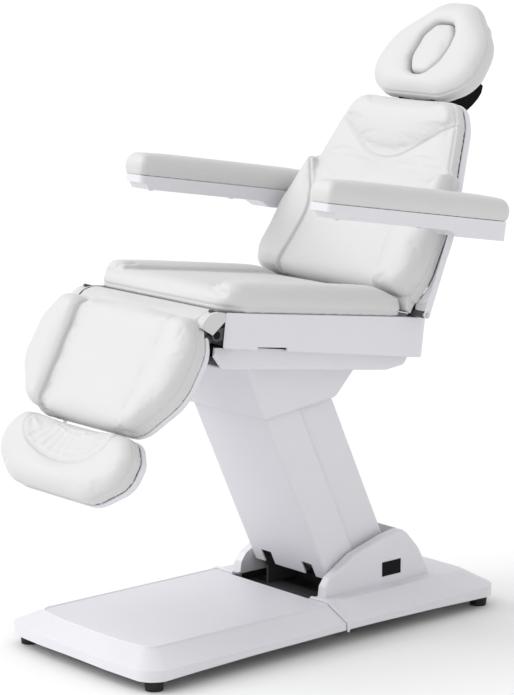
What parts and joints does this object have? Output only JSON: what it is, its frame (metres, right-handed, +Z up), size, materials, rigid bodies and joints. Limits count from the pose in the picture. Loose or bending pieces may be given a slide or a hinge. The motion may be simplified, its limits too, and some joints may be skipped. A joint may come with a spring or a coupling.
{
  "type": "treatment_chair",
  "caption": "Electric beauty chair with lifting column, reclining back, rising leg rest, sliding foot rest, tilting headrest and fold-up armrests",
  "frame": {"origin": "On the floor, in the middle of the chair's bounding box", "axes": "+X is the sitter's left, -Y is the way the sitter faces, +Z is up"},
  "size_m": [0.78, 1.385, 1.5248],
  "materials": {
    "upholstery": "soft white faux leather with a fine grain",
    "white_moulding": "satin moulded plastic, white with a faint cool tint",
    "black_rubber": "matt black rubber",
    "black_plastic": "matt black plastic",
    "black_bracket": "satin black powder coat",
    "dark_frame": "dark grey powder coat",
    "motor_grey": "grey enamel",
    "steel": "turned and zinc plated",
    "bronze": "plain sintered bronze"
  },
  "bodies": {
    "base": {"base_frame": "dark_frame", "base_pan": "dark_frame", "base_front_cover": "white_moulding", "base_rear_cover": "white_moulding", "base_feet": "black_rubber", "foot_bolts": "steel", "cover_screws": "steel", "rating_plate": "black_plastic", "power_inlet": "black_plastic", "handset_socket": "black_plastic", "control_box": "black_plastic", "lower_pivot_pins": "steel"},
    "front_arm": {"front_arm": "dark_frame", "front_arm_bushes": "bronze", "column_front_shell": "white_moulding"},
    "rear_arm": {"rear_arm": "dark_frame", "rear_arm_bushes": "bronze", "column_rear_shell": "white_moulding"},
    "lift_motor": {"lift_motor": "motor_grey"},
    "lift_rod": {"lift_rod": "steel"},
    "seat": {"seat_skirt": "white_moulding", "under_cover": "white_moulding", "seat_frame": "dark_frame", "lift_head": "dark_frame", "upper_pivot_pins": "steel", "seat_hinge_pins": "steel", "seat_board": "upholstery", "seat_bolts": "steel", "seat_cushion": "upholstery"},
    "back_motor": {"back_motor": "motor_grey"},
    "back_rod": {"back_rod": "steel"},
    "leg_motor": {"leg_motor": "motor_grey"},
    "leg_rod": {"leg_rod": "steel"},
    "backrest": {"back_cushion": "upholstery", "back_shell": "white_moulding", "back_frame": "dark_frame", "back_pins": "steel"},
    "head_slide": {"head_posts": "black_bracket", "head_tilt_pin": "black_bracket"},
    "headrest": {"head_cushion": "upholstery", "head_board": "upholstery", "head_bracket": "black_bracket"},
    "face_plug": {"face_plug": "upholstery"},
    "legrest": {"leg_cushion": "upholstery", "leg_shell": "white_moulding", "leg_frame": "dark_frame", "leg_lever_pin": "steel"},
    "footrest": {"foot_cushion": "upholstery", "foot_shell": "white_moulding", "foot_rails": "steel"},
    "arm_link_left": {"arm_link_left": "white_moulding"},
    "arm_carrier_left": {"arm_carrier_left": "dark_frame"},
    "armrest_left": {"arm_pad_left": "upholstery", "arm_tray_left": "white_moulding", "arm_screws_left": "steel"},
    "arm_link_right": {"arm_link_right": "white_moulding"},
    "arm_carrier_right": {"arm_carrier_right": "dark_frame"},
    "armrest_right": {"arm_pad_right": "upholstery", "arm_tray_right": "white_moulding", "arm_screws_right": "steel"}
  },
  "joints": [
    {"name": "lift", "type": "hinge", "parent": "base", "child": "front_arm", "pos_m": [0, 0.12, 0.135], "axis": [-1, 0, 0], "range_deg": [-35, 13]},
    {"name": "rear_lift", "type": "hinge", "parent": "base", "child": "rear_arm", "pos_m": [0, 0.233, 0.176], "axis": [-1, 0, 0], "range_deg": [-35, 13]},
    {"name": "seat_level", "type": "hinge", "parent": "front_arm", "child": "seat", "pos_m": [0, -0.0968, 0.59994], "axis": [-1, 0, 0], "range_deg": [-13, 35]},
    {"name": "lift_motor_swing", "type": "hinge", "parent": "base", "child": "lift_motor", "pos_m": [0, 0.12, 0.135], "axis": [-1, 0, 0], "range_deg": [-35.5, 13.2]},
    {"name": "lift_rod_slide", "type": "slide", "parent": "lift_motor", "child": "lift_rod", "axis": [0, -0.201, 0.9796], "range_m": [-0.072, 0.027]},
    {"name": "back_recline", "type": "hinge", "parent": "seat", "child": "backrest", "pos_m": [0, 0.275, 0.806], "axis": [-1, 0, 0], "range_deg": [0, 68]},
    {"name": "back_motor_swing", "type": "hinge", "parent": "seat", "child": "back_motor", "pos_m": [0.055, -0.24805, 0.77115], "axis": [-1, 0, 0], "range_deg": [-1.2, 0]},
    {"name": "back_rod_slide", "type": "slide", "parent": "back_motor", "child": "back_rod", "axis": [0, 0.999, -0.0444], "range_m": [-0.0705, 0]},
    {"name": "leg_raise", "type": "hinge", "parent": "seat", "child": "legrest", "pos_m": [0, -0.379, 0.815], "axis": [-1, 0, 0], "range_deg": [0, 64]},
    {"name": "leg_motor_swing", "type": "hinge", "parent": "seat", "child": "leg_motor", "pos_m": [-0.055, 0.03875, 0.72785], "axis": [-1, 0, 0], "range_deg": [-1.7, 0]},
    {"name": "leg_rod_slide", "type": "slide", "parent": "leg_motor", "child": "leg_rod", "axis": [0, -0.996, 0.0895], "range_m": [0, 0.0635]},
    {"name": "foot_slide", "type": "slide", "parent": "legrest", "child": "footrest", "axis": [0, -0.5225, -0.8526], "range_m": [0, 0.12]},
    {"name": "head_slide", "type": "slide", "parent": "backrest", "child": "head_slide", "axis": [0, 0.4695, 0.8829], "range_m": [0, 0.1]},
    {"name": "head_tilt", "type": "hinge", "parent": "head_slide", "child": "headrest", "pos_m": [0, 0.579, 1.296], "axis": [-1, 0, 0], "range_deg": [0, 35]},
    {"name": "plug_pull", "type": "slide", "parent": "headrest", "child": "face_plug", "axis": [0, -0.766, 0.6428], "range_m": [0, 0.06]},
    {"name": "arm_link_left", "type": "hinge", "parent": "seat", "child": "arm_link_left", "pos_m": [0.303, 0.248, 0.796], "axis": [-1, 0, 0], "range_deg": [0, 68]},
    {"name": "arm_carrier_left", "type": "hinge", "parent": "backrest", "child": "arm_carrier_left", "pos_m": [0.303, 0.357, 1.001], "axis": [-1, 0, 0], "range_deg": [-68, 0]},
    {"name": "arm_fold_left", "type": "hinge", "parent": "arm_carrier_left", "child": "armrest_left", "pos_m": [0.348, 0.39034, 1.00708], "axis": [-1, 0, 0], "range_deg": [0, 80]},
    {"name": "arm_link_right", "type": "hinge", "parent": "seat", "child": "arm_link_right", "pos_m": [-0.303, 0.248, 0.796], "axis": [-1, 0, 0], "range_deg": [0, 68]},
    {"name": "arm_carrier_right", "type": "hinge", "parent": "backrest", "child": "arm_carrier_right", "pos_m": [-0.303, 0.357, 1.001], "axis": [-1, 0, 0], "range_deg": [-68, 0]},
    {"name": "arm_fold_right", "type": "hinge", "parent": "arm_carrier_right", "child": "armrest_right", "pos_m": [-0.348, 0.39034, 1.00708], "axis": [-1, 0, 0], "range_deg": [0, 80]}
  ],
  "couplings": [
    {"joint": "rear_lift", "follows": "lift", "ratio": 1},
    {"joint": "seat_level", "follows": "lift", "ratio": -1},
    {"joint": "lift_motor_swing", "follows": "lift", "ratio": 1.011},
    {"joint": "lift_rod_slide", "follows": "lift", "m_per_rad": 0.11677},
    {"joint": "back_motor_swing", "follows": "back_recline", "ratio": -0.0159},
    {"joint": "back_rod_slide", "follows": "back_recline", "m_per_rad": -0.05862},
    {"joint": "leg_motor_swing", "follows": "leg_raise", "ratio": -0.024},
    {"joint": "leg_rod_slide", "follows": "leg_raise", "m_per_rad": 0.05633},
    {"joint": "arm_link_left", "follows": "back_recline", "ratio": 1},
    {"joint": "arm_carrier_left", "follows": "back_recline", "ratio": -1},
    {"joint": "arm_link_right", "follows": "back_recline", "ratio": 1},
    {"joint": "arm_carrier_right", "follows": "back_recline", "ratio": -1}
  ]
}
